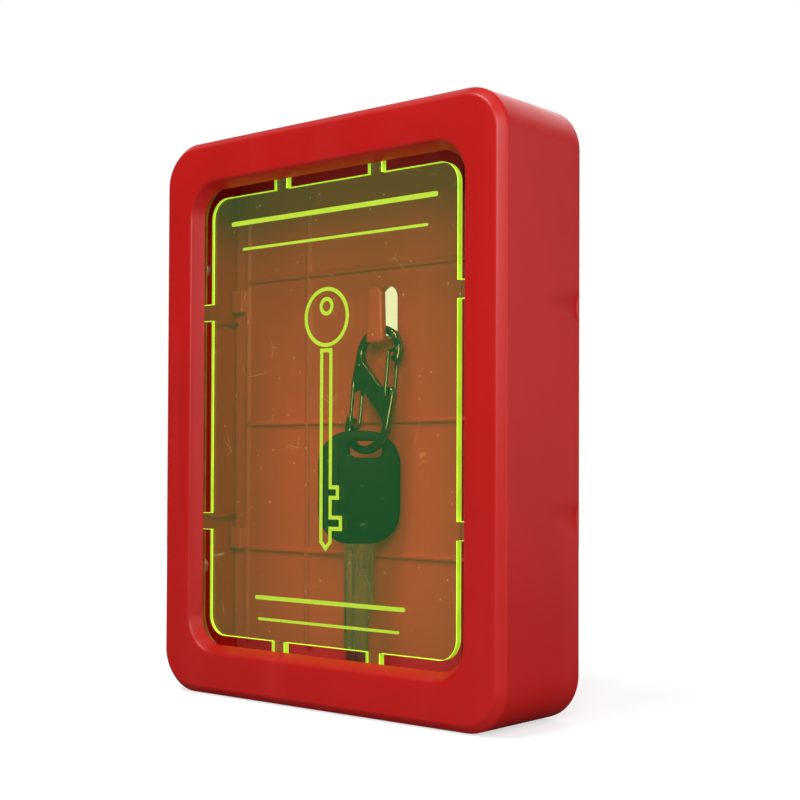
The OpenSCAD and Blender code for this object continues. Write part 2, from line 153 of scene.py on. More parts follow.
def rounded_outline(w, h, r, arc_steps=14, side_steps=(24, 120)):
    """Points of a rounded rectangle, counter-clockwise, with the same count at every size.

    side_steps are for its level sides and its upright sides, which need more for the dents.
    """
    corners = [(w / 2 - r, h / 2 - r, 0), (-w / 2 + r, h / 2 - r, 90),
               (-w / 2 + r, -h / 2 + r, 180), (w / 2 - r, -h / 2 + r, 270)]
    points = []
    for i, (cx, cz, start) in enumerate(corners):
        for k in range(arc_steps + 1):
            a = math.radians(start + 90 * k / arc_steps)
            points.append((cx + r * math.cos(a), cz + r * math.sin(a)))
        nx, nz, after = corners[(i + 1) % 4]
        a = math.radians(after)
        end = (nx + r * math.cos(a), nz + r * math.sin(a))
        steps = side_steps[i % 2]
        x0, z0 = points[-1]
        for k in range(1, steps):
            points.append((x0 + (end[0] - x0) * k / steps, z0 + (end[1] - z0) * k / steps))
    return points


def circle_outline(x, z, r, steps=32):
    """Points of a circle, counter-clockwise."""
    return [(x + r * math.cos(2 * math.pi * k / steps), z + r * math.sin(2 * math.pi * k / steps))
            for k in range(steps)]


def softened(keys, steps=5):
    """Turns a closed list of key rings (w, h, r, depth, softness) into rings with round edges."""
    def apart(a, b):
        return math.hypot((a[0] - b[0]) / 2, a[3] - b[3])

    def mixed(a, b, t):
        return tuple(a[i] + (b[i] - a[i]) * t for i in range(4))

    rings = []
    for i, key in enumerate(keys):
        before, after, soft = keys[i - 1], keys[(i + 1) % len(keys)], key[4]
        if soft <= 0:
            rings.append(key[:4])
            continue
        start = mixed(key, before, min(soft / apart(key, before), 0.5))
        end = mixed(key, after, min(soft / apart(key, after), 0.5))
        for k in range(steps + 1):
            t = k / steps
            rings.append(mixed(mixed(start, key, t), mixed(key, end, t), t))
    return rings


def with_steps(rings, longest):
    """Adds rings so that no step in depth is longer than the given length."""
    made = []
    for i, ring in enumerate(rings):
        after = rings[(i + 1) % len(rings)]
        count = max(1, math.ceil(abs(after[3] - ring[3]) / longest))
        for k in range(count):
            made.append(tuple(ring[j] + (after[j] - ring[j]) * k / count for j in range(4)))
    return made


def ring_faces(faces, a, b, count):
    """Adds the band of faces between two closed rings of points that start at a and b."""
    for k in range(count):
        n = (k + 1) % count
        faces.append((a + k, a + n, b + n, b + k))


def four_places(x, z):
    """The four places left and right, below and above the middle."""
    return [(sx, sz) for sx in (-x, x) for sz in (-z, z)]


# Front cover

def dented(x, depth, z):
    """The side walls scooped by the finger dents, which open at the wall edge."""
    slope = DENT_DEPTH / DENT_LEN
    axis = BOX_W / 2 + DENT_R - DENT_DEPTH + (BOX_D - depth) * slope
    reach = DENT_R ** 2 - (abs(z) - DENT_Z) ** 2
    if reach <= 0 or abs(x) < BOX_W / 2 - SKIN:
        return x
    return math.copysign(min(abs(x), axis - math.sqrt(reach)), x)


def cover_rings():
    """Outlines through the cover: wall, chamfer, front, window bevel, pane lip and inside."""
    c = EDGE_CHAMFER
    lip_w, lip_h, lip_r = SEAT_W + 2 * LIP, SEAT_H + 2 * LIP, SEAT_R + LIP
    inner_w, inner_h, inner_r = BOX_W - 2 * WALL, BOX_H - 2 * WALL, CORNER_R - WALL
    keys = [
        (BOX_W, BOX_H, CORNER_R, BOX_D, REAR_SOFT),
        (BOX_W, BOX_H, CORNER_R, c, OUTER_SOFT),
        (BOX_W - 2 * c, BOX_H - 2 * c, CORNER_R - c, 0, OUTER_SOFT),
        (WINDOW_W, WINDOW_H, WINDOW_R, 0, WINDOW_SOFT),
        (SEAT_W, SEAT_H, SEAT_R, PANE_DEPTH, SEAT_SOFT),
        (lip_w, lip_h, lip_r, PANE_DEPTH, LIP_SOFT),
        (lip_w, lip_h, lip_r, WALL, 0),
        (inner_w, inner_h, inner_r, WALL, INNER_SOFT),
        (inner_w, inner_h, inner_r, BOX_D, REAR_SOFT),
    ]
    return with_steps(softened(keys), LONGEST_STEP)


def round_post(points, faces, x, z, stops, segments=32):
    """Adds a turned post to a mesh: stops are (radius, depth) along its outline."""
    first = len(points)
    for radius, depth in stops:
        for k in range(segments):
            a = 2 * math.pi * k / segments
            points.append(row_point(x + radius * math.cos(a), depth, z + radius * math.sin(a)))
    for i in range(len(stops) - 1):
        a = first + i * segments
        ring_faces(faces, a, a + segments, segments)


def small_block(points, faces, low, high):
    """Adds a block between two corners, given as (x, depth, z)."""
    first = len(points)
    for x in (low[0], high[0]):
        for depth in (low[1], high[1]):
            for z in (low[2], high[2]):
                points.append(row_point(x, depth, z))
    sides = ((0, 1, 3, 2), (4, 6, 7, 5), (0, 4, 5, 1), (2, 3, 7, 6), (0, 2, 6, 4), (1, 5, 7, 3))
    faces.extend(tuple(first + i for i in side) for side in sides)


def make_cover():
    """Front cover: one closed skin with its finger dents, four screw bosses and four stop ribs."""
    rings = cover_rings()
    points, faces = [], []
    for w, h, r, depth in rings:
        points += [row_point(dented(x, depth, z), depth, z) for x, z in rounded_outline(w, h, r)]
    count = len(points) // len(rings)
    for i in range(len(rings)):
        ring_faces(faces, i * count, (i + 1) % len(rings) * count, count)
    for x, z in four_places(SCREW_X, SCREW_Z):
        round_post(points, faces, x, z, BOSS)
    inner, half = BOX_W / 2 - WALL, STOP_T / 2
    for side, z in four_places(1, STOP_Z):
        near, far = sorted((side * (inner - STOP_H), side * (inner + SUNK)))
        small_block(points, faces, (near, STOP_FRONT, z - half), (far, STOP_REAR, z + half))
    return piece_from("cover_shell", points, faces, "cover")


# Flat plates with holes and softened edges

def moved_in(loop, distance):
    """A closed outline moved towards its left, which is into the material."""
    shortest, flattest = 0.5, 0.4  # these keep a sharp corner from running away
    out = []
    for i, (x, z) in enumerate(loop):
        ax, az = x - loop[i - 1][0], z - loop[i - 1][1]
        bx, bz = loop[(i + 1) % len(loop)][0] - x, loop[(i + 1) % len(loop)][1] - z
        la, lb = math.hypot(ax, az) or 1, math.hypot(bx, bz) or 1
        n1, n2 = (-az / la, ax / la), (-bz / lb, bx / lb)
        mx, mz = n1[0] + n2[0], n1[1] + n2[1]
        size = max(math.hypot(mx, mz), shortest)
        scale = distance / max((mx * n1[0] + mz * n1[1]) / size, flattest) / size
        out.append((x + mx * scale, z + mz * scale))
    return out


def plate_mesh(outer, holes, thickness, edge, steps):
    """A plate in the XY plane, centred on z = 0: returns points, flat faces and edge faces."""
    loops = [outer] + [list(reversed(hole)) for hole in holes]
    profile = []
    for k in range(steps + 1):
        a = math.radians(90 * k / steps)
        profile.append((edge * (1 - math.cos(a)), thickness / 2 - edge * (1 - math.sin(a))))
    profile = [(inset, -z) for inset, z in reversed(profile)] + profile
    points, flat, edges, ends = [], [], [], [[], []]
    for loop in loops:
        starts = []
        for inset, z in profile:
            starts.append(len(points))
            points += [(x, y, z) for x, y in (moved_in(loop, inset) if inset else loop)]
        for a, b in zip(starts, starts[1:]):
            ring_faces(edges, a, b, len(loop))
        ends[0].append(range(starts[0], starts[0] + len(loop)))
        ends[1].append(range(starts[-1], starts[-1] + len(loop)))
    for end in ends:
        index = [i for part in end for i in part]
        shape = [[Vector((points[i][0], points[i][1], 0)) for i in part] for part in end]
        flat += [tuple(index[i] for i in triangle) for triangle in tessellate_polygon(shape)]
    return points, flat, edges


def arc(cx, cz, r, start, end, steps):
    """Points along an arc; angles in degrees."""
    angles = [math.radians(start + (end - start) * k / steps) for k in range(steps + 1)]
    return [(cx + r * math.cos(a), cz + r * math.sin(a)) for a in angles]


def slot_outlines():
    """The eight slots round the break-out panel, each a counter-clockwise outline."""
    ow, oh, orad = SLOTS_W / 2, SLOTS_H / 2, SLOTS_R
    iw, ih, irad = PANEL_W / 2, PANEL_H / 2, PANEL_R
    t = TAB_W / 2
    corner = (arc(ow - orad, oh - orad, orad, 0, 90, 16) + [(TAB_X + t, oh), (TAB_X + t, ih)]
              + arc(iw - irad, ih - irad, irad, 90, 0, 12) + [(iw, TAB_Z + t), (ow, TAB_Z + t)])
    slots = []
    for sx in (1, -1):
        for sz in (1, -1):
            turned = [(sx * x, sz * z) for x, z in corner]
            slots.append(turned if sx * sz > 0 else list(reversed(turned)))
    x, z = TAB_X - t, TAB_Z - t
    for s in (1, -1):
        a, b = sorted((s * ih, s * oh))
        slots.append([(-x, a), (x, a), (x, b), (-x, b)])
        a, b = sorted((s * iw, s * ow))
        slots.append([(a, -z), (b, -z), (b, z), (a, z)])
    return slots


def in_margin(x, z):
    """True outside the slots' outer outline, where the cover keeps the light off the pane."""
    across = abs(x) - (SLOTS_W / 2 - SLOTS_R)
    up = abs(z) - (SLOTS_H / 2 - SLOTS_R)
    outside = math.hypot(max(across, 0), max(up, 0)) + min(max(across, up), 0)
    return outside > SLOTS_R - MARGIN_SLACK


def sort_pane_faces(mesh):
    """Gives each pane face its finish: 0 clear, 1 painted-glow edge, 2 margin edge in painted
    shade.
    """
    front, rear = row_point(0, PANE_DEPTH, 0).y, row_point(0, PANE_DEPTH + PANE_T, 0).y
    for face in mesh.polygons:
        on_face = all(min(abs(mesh.vertices[i].co.y - front),
                          abs(mesh.vertices[i].co.y - rear)) < SAME_PLANE for i in face.vertices)
        if on_face:
            face.material_index = 0
        elif in_margin(face.center.x / MM, face.center.z / MM):
            face.material_index = 2
        else:
            face.material_index = 1


def make_pane():
    """Acrylic pane with its slots and screw holes; its cut edges get the painted glow finishes."""
    holes = slot_outlines()
    holes += [circle_outline(x, z, SCREW_HOLE_R) for x, z in four_places(SCREW_X, SCREW_Z)]
    outer = rounded_outline(PANE_W, PANE_H, PANE_R, 12, (1, 1))
    flat_points, flat, edges = plate_mesh(outer, holes, PANE_T, PANE_EDGE, 1)
    middle = PANE_DEPTH + PANE_T / 2
    points = [row_point(x, middle + z, y) for x, y, z in flat_points]
    pane = piece_from("acrylic_pane", points, flat + edges, "cover", smooth=False)
    for finish in (acrylic_with_painted_glow(), cut_edge_painted_glow(), margin_edge_dim_painted_glow()):
        pane.data.materials.append(finish)
    sort_pane_faces(pane.data)


def bar_outline(x0, x1, z0, z1, r):
    """Points of an upright or level bar with rounded ends."""
    cx, cz = (x0 + x1) / 2, (z0 + z1) / 2
    return [(x + cx, z + cz) for x, z in rounded_outline(x1 - x0, z1 - z0, r, 6, (1, 1))]


def shaft_outline():
    """Shaft of the drawn key, counter-clockwise from its top left: a pointed end and two teeth."""
    left, right = MARK_X - SHAFT_HALF, MARK_X + SHAFT_HALF
    return [(left, SHAFT_TOP), (left, -36.0), (MARK_X, -38.4), (right, -36.0), (right, -32.6),
            (6.6, -32.6), (6.6, -28.4), (right, -28.4), (right, -24.0), (5.4, -24.0),
            (5.4, -20.0), (right, -20.0), (right, SHAFT_TOP)]


def make_engraving():
    """Plain engraved rules above and below, and an outlined key in the middle."""
    points, faces = [], []

    def engrave(outer, *holes):
        flat_points, flat, edges = plate_mesh(outer, holes, MARK_T, MARK_EDGE, 1)
        first = len(points)
        depth = PANE_DEPTH + MARK_T / 2 - MARK_PROUD
        points.extend(row_point(x, depth + z, y) for x, y, z in flat_points)
        faces.extend(tuple(first + i for i in face) for face in flat + edges)

    for x0, x1, z0, z1 in RULES:
        engrave(bar_outline(x0, x1, z0, z1, (z1 - z0) / 2 - MARK_EDGE))
    for z, r, steps in ((BOW_Z, BOW_R, 48), (EYE_Z, EYE_R, 32)):
        outer, inner = (circle_outline(MARK_X, z, size, steps) for size in (r, r - MARK_LINE))
        engrave(outer, inner)
    engrave(shaft_outline(), moved_in(shaft_outline(), MARK_LINE))
    marks = piece_from("engraved_marks", points, faces, "cover", smooth=False)
    dress(marks, engraving_painted_glow())


def make_key_head():
    """Moulded head of the key, with its edges and its hole rounded over."""
    outer = rounded_outline(HEAD_W, HEAD_H, HEAD_R, 20, (2, 4))
    hx, hy, hw, hh = HEAD_HOLE
    hole = [(x + hx, y + hy) for x, y in rounded_outline(hw, hh, HOLE_R, 12, (2, 2))]
    flat_points, flat, edges = plate_mesh(outer, [hole], HEAD_T, HEAD_EDGE, 6)
    place = (Matrix.Translation(row_point(*KEY_PLACE))
             @ Matrix.Rotation(math.radians(KEY_TURN), 4, "Z")
             @ Matrix.Rotation(math.radians(90), 4, "X"))
    points = [place @ (Vector(p) * MM) for p in flat_points]
    return piece_from("key_head_moulding", points, flat + edges, "key")


# Node helpers

FLOAT, COLOUR, VECTOR = "NodeSocketFloat", "NodeSocketColor", "NodeSocketVector"

# The Mix node's sockets go by number: its factor, and its two inputs and result for each kind
FACTOR = 0
COLOUR_A, COLOUR_B, COLOUR_MIX = 6, 7, 2
FLOAT_A, FLOAT_B, FLOAT_MIX = 2, 3, 0


def place_node(tree, kind, inputs=None, **settings):
    """A new node with its settings and the values of its inputs, by name or number."""
    made = tree.nodes.new(kind)
    for name, value in settings.items():
        setattr(made, name, value)
    for name, value in (inputs or {}).items():
        made.inputs[name].default_value = value
    return made


def maths(tree, operation, second=None):
    """A Math node; its second value may be fixed."""
    return place_node(tree, "ShaderNodeMath", None if second is None else {1: second},
                      operation=operation)


def map_range(tree, given, wanted=(0.0, 1.0)):
    """A Map Range node, which turns one range of values into another and stays inside it."""
    return place_node(tree, "ShaderNodeMapRange", {"From Min": given[0], "From Max": given[1],
                                                   "To Min": wanted[0], "To Max": wanted[1]})


def two_tone(tree, first=None, second=None):
    """A Mix node for colours, with those of its two colours that are fixed."""
    made = place_node(tree, "ShaderNodeMix", data_type="RGBA")
    for socket, colour in ((COLOUR_A, first), (COLOUR_B, second)):
        if colour:
            made.inputs[socket].default_value = (*colour, 1)
    return made


def join(tree, pairs):
    """Links nodes, each pair given as (from node, its output, to node, its input)."""
    for out_node, out_name, in_node, in_name in pairs:
        tree.links.new(out_node.outputs[out_name], in_node.inputs[in_name])


def new_group(name, inputs, outputs):
    """A shader node group with named sockets: (kind, name, default) in, (kind, name) out."""
    group = bpy.data.node_groups.new(name, "ShaderNodeTree")
    for kind, label, value in inputs:
        group.interface.new_socket(label, in_out="INPUT", socket_type=kind).default_value = value
    for kind, label in outputs:
        group.interface.new_socket(label, in_out="OUTPUT", socket_type=kind)
    return group, group.nodes.new("NodeGroupInput"), group.nodes.new("NodeGroupOutput")


def use_group(tree, name, **values):
    """A shared group placed in a material, with its own values."""
    made = tree.nodes.new("ShaderNodeGroup")
    made.node_tree = bpy.data.node_groups[name]
    for label, value in values.items():
        made.inputs[label.replace("_", " ")].default_value = value
    return made


def new_material(name, **values):
    """A material with a Principled shader, and values for the shader's own sockets."""
    material = bpy.data.materials.new(name)
    material.use_nodes = True
    tree = material.node_tree
    tree.nodes.clear()
    shader = tree.nodes.new("ShaderNodeBsdfPrincipled")
    output = tree.nodes.new("ShaderNodeOutputMaterial")
    tree.links.new(shader.outputs["BSDF"], output.inputs["Surface"])
    for label, value in values.items():
        shader.inputs[label.replace("_", " ")].default_value = value
    return material, tree, shader, output


def dress(piece, material):
    """One material over the whole of a piece or CAD node."""
    piece.data.materials.clear()
    piece.data.materials.append(material)


# Effects that several materials share

def build_moulded_skin():
    """Moulded plastic: faint flow marks in the colour, a fine skin and shine that varies."""
    group, enter, leave = new_group(
        "moulded skin",
        [(COLOUR, "Colour", (1, 1, 1, 1)), (COLOUR, "Worn Colour", (1, 1, 1, 1)),
         (FLOAT, "Shine", 0.4), (FLOAT, "Skin Scale", 900.0), (FLOAT, "Wear", 0.3)],
        [(COLOUR, "Colour"), (FLOAT, "Roughness"), (FLOAT, "Height")])
    where = place_node(group, "ShaderNodeTexCoord")
    flow = place_node(group, "ShaderNodeTexNoise",
                      {"Scale": 28.0, "Detail": 3.0, "Distortion": 0.6})
    skin = place_node(group, "ShaderNodeTexNoise", {"Detail": 2.0, "Roughness": 0.7})
    smear = place_node(group, "ShaderNodeTexNoise", {"Scale": 90.0, "Detail": 5.0})
    stretch = place_node(group, "ShaderNodeMapping", {"Scale": (1.0, 1.0, 0.12)})
    tone = map_range(group, (0.3, 0.7), (0.94, 1.05))
    tinted = place_node(group, "ShaderNodeVectorMath", operation="SCALE")
    worn_mask = map_range(group, (0.58, 0.8))
    worn = maths(group, "MULTIPLY")
    mixed = two_tone(group)
    shine = map_range(group, (0.25, 0.75), (-0.05, 0.07))
    rough = maths(group, "ADD")
    join(group, [
        (where, "Object", flow, "Vector"), (where, "Object", skin, "Vector"),
        (where, "Object", stretch, "Vector"), (stretch, "Vector", smear, "Vector"),
        (enter, "Skin Scale", skin, "Scale"), (flow, "Fac", tone, "Value"),
        (enter, "Colour", tinted, 0), (tone, "Result", tinted, "Scale"),
        (smear, "Fac", worn_mask, "Value"), (worn_mask, "Result", worn, 0),
        (enter, "Wear", worn, 1), (worn, "Value", mixed, FACTOR),
        (tinted, "Vector", mixed, COLOUR_A), (enter, "Worn Colour", mixed, COLOUR_B),
        (smear, "Fac", shine, "Value"), (shine, "Result", rough, 0), (enter, "Shine", rough, 1),
        (mixed, COLOUR_MIX, leave, "Colour"), (rough, "Value", leave, "Roughness"),
        (skin, "Fac", leave, "Height")])


def build_soft_edge():
    """Rounded-over edges: a normal that runs round them, and a mask of where they are."""
    group, enter, leave = new_group(
        "soft edge", [(FLOAT, "Radius", 0.0004)], [(VECTOR, "Normal"), (FLOAT, "Mask")])
    rounded = place_node(group, "ShaderNodeBevel", samples=6)
    real = place_node(group, "ShaderNodeNewGeometry")
    turn = place_node(group, "ShaderNodeVectorMath", operation="DOT_PRODUCT")
    mask = map_range(group, (0.995, 0.85))
    join(group, [
        (enter, "Radius", rounded, "Radius"), (rounded, "Normal", turn, 0),
        (real, "Normal", turn, 1), (turn, "Value", mask, "Value"),
        (rounded, "Normal", leave, "Normal"), (mask, "Result", leave, "Mask")])


def build_fine_marks():
    """Short hairline scratches and specks of dust, as two masks."""
    group, enter, leave = new_group(
        "fine marks", [(FLOAT, "Scratch Scale", 75.0), (FLOAT, "Speck Scale", 420.0)],
        [(FLOAT, "Scratches"), (FLOAT, "Specks")])
    where = place_node(group, "ShaderNodeTexCoord")
    lines = place_node(group, "ShaderNodeTexVoronoi", feature="DISTANCE_TO_EDGE")
    thin = map_range(group, (0.008, 0.002))
    patches = place_node(group, "ShaderNodeTexNoise", {"Scale": 110.0, "Detail": 1.0})
    kept = map_range(group, (0.655, 0.74))
    scratches = maths(group, "MULTIPLY")
    cells = place_node(group, "ShaderNodeTexVoronoi", feature="F1")
    near = map_range(group, (0.16, 0.08))
    chance = map_range(group, (0.9, 0.93))
    pick = place_node(group, "ShaderNodeSeparateColor")
    specks = maths(group, "MULTIPLY")
    join(group, [
        (where, "Object", lines, "Vector"), (enter, "Scratch Scale", lines, "Scale"),
        (lines, "Distance", thin, "Value"), (where, "Object", patches, "Vector"),
        (patches, "Fac", kept, "Value"), (thin, "Result", scratches, 0),
        (kept, "Result", scratches, 1),
        (where, "Object", cells, "Vector"), (enter, "Speck Scale", cells, "Scale"),
        (cells, "Distance", near, "Value"), (cells, "Color", pick, "Color"),
        (pick, "Red", chance, "Value"), (near, "Result", specks, 0), (chance, "Result", specks, 1),
        (scratches, "Value", leave, "Scratches"), (specks, "Value", leave, "Specks")])


# Materials

def plastic(name, colour, worn_colour, shine, skin_scale, skin_depth, wear, edge=0, gloss=0.5):
    """A moulded plastic made of the shared skin and, where it has an edge, soft edge groups."""
    material, tree, shader, _ = new_material(name, Specular_IOR_Level=gloss)
    skin = use_group(tree, "moulded skin", Colour=(*colour, 1), Worn_Colour=(*worn_colour, 1),
                     Shine=shine, Skin_Scale=skin_scale, Wear=wear)
    bump = place_node(tree, "ShaderNodeBump", {"Strength": 0.25, "Distance": skin_depth})
    join(tree, [(skin, "Colour", shader, "Base Color"), (skin, "Roughness", shader, "Roughness"),
                (skin, "Height", bump, "Height"), (bump, "Normal", shader, "Normal")])
    if edge:
        soft = use_group(tree, "soft edge", Radius=edge)
        join(tree, [(soft, "Normal", bump, "Normal")])
    return material


def metal(name, colour, edge_colour, rough, metallic, grain_scale, grain_stretch, edge, ior=1.5):
    """Metal, bare or coated, with a fine grain, and edges rubbed a little brighter."""
    material, tree, shader, _ = new_material(name, Metallic=metallic, IOR=ior)
    where = place_node(tree, "ShaderNodeTexCoord")
    stretch = place_node(tree, "ShaderNodeMapping", {"Scale": grain_stretch})
    grain = place_node(tree, "ShaderNodeTexNoise", {"Scale": grain_scale, "Detail": 4.0})
    shine = map_range(tree, (0.3, 0.7), (rough - 0.07, rough + 0.1))
    soft = use_group(tree, "soft edge", Radius=edge)
    rub = maths(tree, "MULTIPLY")
    tone = two_tone(tree, colour, edge_colour)
    bump = place_node(tree, "ShaderNodeBump", {"Strength": 0.2, "Distance": 0.00005})
    join(tree, [(where, "Object", stretch, "Vector"), (stretch, "Vector", grain, "Vector"),
                (grain, "Fac", shine, "Value"), (shine, "Result", shader, "Roughness"),
                (soft, "Mask", rub, 0), (grain, "Fac", rub, 1), (rub, "Value", tone, FACTOR),
                (tone, COLOUR_MIX, shader, "Base Color"), (grain, "Fac", bump, "Height"),
                (soft, "Normal", bump, "Normal"), (bump, "Normal", shader, "Normal")])
    return material


def acrylic_with_painted_glow():
    """Fluorescent acrylic that tints what is behind it; its haze is a painted green glow."""
    material, tree, shader, output = new_material(
        "acrylic_with_painted_glow", Base_Color=(0.92, 0.86, 0.46, 1), Roughness=0.03, IOR=1.49,
        Transmission_Weight=1.0, Emission_Strength=1.0)
    # Painted light: the pane glows green all over, with pale painted glints where its scratches
    # and specks are
    painted_green_glow, painted_glint_colour, scratch_strength = (0.002, 0.034, 0.009), (0.17, 0.24, 0.08), 0.8
    marks = use_group(tree, "fine marks")
    painted_glow_colour = two_tone(tree, painted_green_glow, painted_glint_colour)
    amount = maths(tree, "MULTIPLY", scratch_strength)
    both = maths(tree, "MAXIMUM")
    passing = place_node(tree, "ShaderNodeBsdfTransparent", {"Color": (0.95, 0.93, 0.80, 1)})
    path = place_node(tree, "ShaderNodeLightPath")
    inner = maths(tree, "MAXIMUM")
    choose = place_node(tree, "ShaderNodeMixShader")
    join(tree, [(marks, "Scratches", amount, 0), (amount, "Value", both, 0),
                (marks, "Specks", both, 1), (both, "Value", painted_glow_colour, FACTOR),
                (painted_glow_colour, COLOUR_MIX, shader, "Emission Color"),
                (path, "Is Shadow Ray", inner, 0), (path, "Is Diffuse Ray", inner, 1),
                (inner, "Value", choose, 0), (shader, "BSDF", choose, 1),
                (passing, "BSDF", choose, 2), (choose, "Shader", output, "Surface")])
    return material


def painted_glow_edge(name, dim, bright, strength):
    """A laser-cut edge with a painted glow, brightest along its two corners."""
    material, tree, shader, _ = new_material(name, Emission_Strength=strength, Roughness=0.35)
    where = place_node(tree, "ShaderNodeTexCoord")
    split = place_node(tree, "ShaderNodeSeparateXYZ")
    off = maths(tree, "SUBTRACT", (PANE_DEPTH + PANE_T / 2 - BOX_D) * MM)
    away = maths(tree, "ABSOLUTE")
    corner = map_range(tree, (PANE_T * MM * 0.24, PANE_T * MM * 0.46), (0.0, 0.8))
    streaks = place_node(tree, "ShaderNodeTexNoise", {"Scale": 220.0, "Detail": 3.0})
    spread = map_range(tree, (0.35, 0.65), (-0.1, 0.3))
    both = maths(tree, "ADD")
    tone = two_tone(tree, dim, bright)
    join(tree, [(where, "Object", streaks, "Vector"), (where, "Object", split, "Vector"),
                (split, "Y", off, 0), (off, "Value", away, 0), (away, "Value", corner, "Value"),
                (streaks, "Fac", spread, "Value"), (spread, "Result", both, 0),
                (corner, "Result", both, 1), (both, "Value", tone, FACTOR),
                (tone, COLOUR_MIX, shader, "Emission Color"),
                (tone, COLOUR_MIX, shader, "Base Color")])
    return material


def cut_edge_painted_glow():
    """Edges of the break-out panel: a bright painted glow for all the light that falls on the
    panel.
    """
    return painted_glow_edge("cut_edge_painted_glow", dim=(0.34, 0.62, 0.02), bright=(0.60, 1.0, 0.05),
                        strength=0.68)


def margin_edge_dim_painted_glow():
    """Edges of the narrow margin under the cover: a faint painted glow, darkened as painted shade.
    """
    return painted_glow_edge("margin_edge_dim_painted_glow", dim=(0.15, 0.055, 0.006), bright=(0.32, 0.18, 0.02),
                        strength=0.25)


def engraving_painted_glow():
    """Engraved strokes, frosted, with the same kind of painted glow."""
    material, tree, shader, _ = new_material(
        "engraving_painted_glow", Emission_Strength=0.5, Roughness=0.5)
    where = place_node(tree, "ShaderNodeTexCoord")
    frost = place_node(tree, "ShaderNodeTexNoise", {"Scale": 1500.0, "Detail": 2.0})
    dim, bright = (0.27, 0.42, 0.02), (0.38, 0.54, 0.025)
    tone = two_tone(tree, dim, bright)
    join(tree, [(where, "Object", frost, "Vector"), (frost, "Fac", tone, FACTOR),
                (tone, COLOUR_MIX, shader, "Emission Color"),
                (tone, COLOUR_MIX, shader, "Base Color")])
    return material


def cover_red():
    """Smooth red plastic of the front cover."""
    return plastic("red_abs", colour=(0.452, 0.005, 0.0035), worn_colour=(0.50, 0.02, 0.017),
                   shine=0.36, skin_scale=1100.0, skin_depth=0.00003, wear=0.25, gloss=0.4)


def plate_red_painted_sheen():
    """Red plastic of the back plate with soft edges, a little paler: its green and blue are
    painted sheen.
    """
    return plastic("red_abs_plate_painted_sheen", colour=(0.53, 0.040, 0.048), worn_colour=(0.56, 0.055, 0.062),
                   shine=0.34, skin_scale=1100.0, skin_depth=0.00003, wear=0.25, edge=0.0011)


def head_black():
    """Dull black plastic of the key's head."""
    return plastic("black_nylon", colour=(0.002, 0.004, 0.004), worn_colour=(0.008, 0.012, 0.012),
                   shine=0.42, skin_scale=1600.0, skin_depth=0.00005, wear=0.2, gloss=0.10)


def carabiner_black():
    """Glossy black coating of the carabiner and its gates."""
    return metal("black_coating", colour=(0.002, 0.003, 0.003), edge_colour=(0.012, 0.014, 0.012),
                 rough=0.13, metallic=0.0, grain_scale=300.0, grain_stretch=(1, 1, 1),
                 edge=0.0005, ior=2.0)


def blade_nickel_painted_reflection():
    """Nickel of the key's blade, with a grain along it; dark red, a painted reflection of the
    box's inside.
    """
    return metal("nickel_plate_painted_reflection", colour=(0.27, 0.11, 0.10), edge_colour=(0.50, 0.48, 0.42),
                 rough=0.30, metallic=1.0, grain_scale=500.0, grain_stretch=(1.0, 1.0, 0.06),
                 edge=0.0003)


def screw_steel():
    """Bright steel of the pane's screws."""
    return metal("screw_steel", colour=(0.56, 0.56, 0.55), edge_colour=(0.7, 0.7, 0.7),
                 rough=0.34, metallic=1.0, grain_scale=700.0, grain_stretch=(1, 1, 1),
                 edge=0.0002)


# Room, light and camera

def seen_straight(tree, path):
    """1 for what is seen straight through the pane, 0 for what is only mirrored in it."""
    unmirrored = maths(tree, "LESS_THAN", 0.5)
    straight = maths(tree, "MULTIPLY")
    join(tree, [(path, "Glossy Depth", unmirrored, 0), (unmirrored, "Value", straight, 0),
                (path, "Is Transmission Ray", straight, 1)])
    return straight


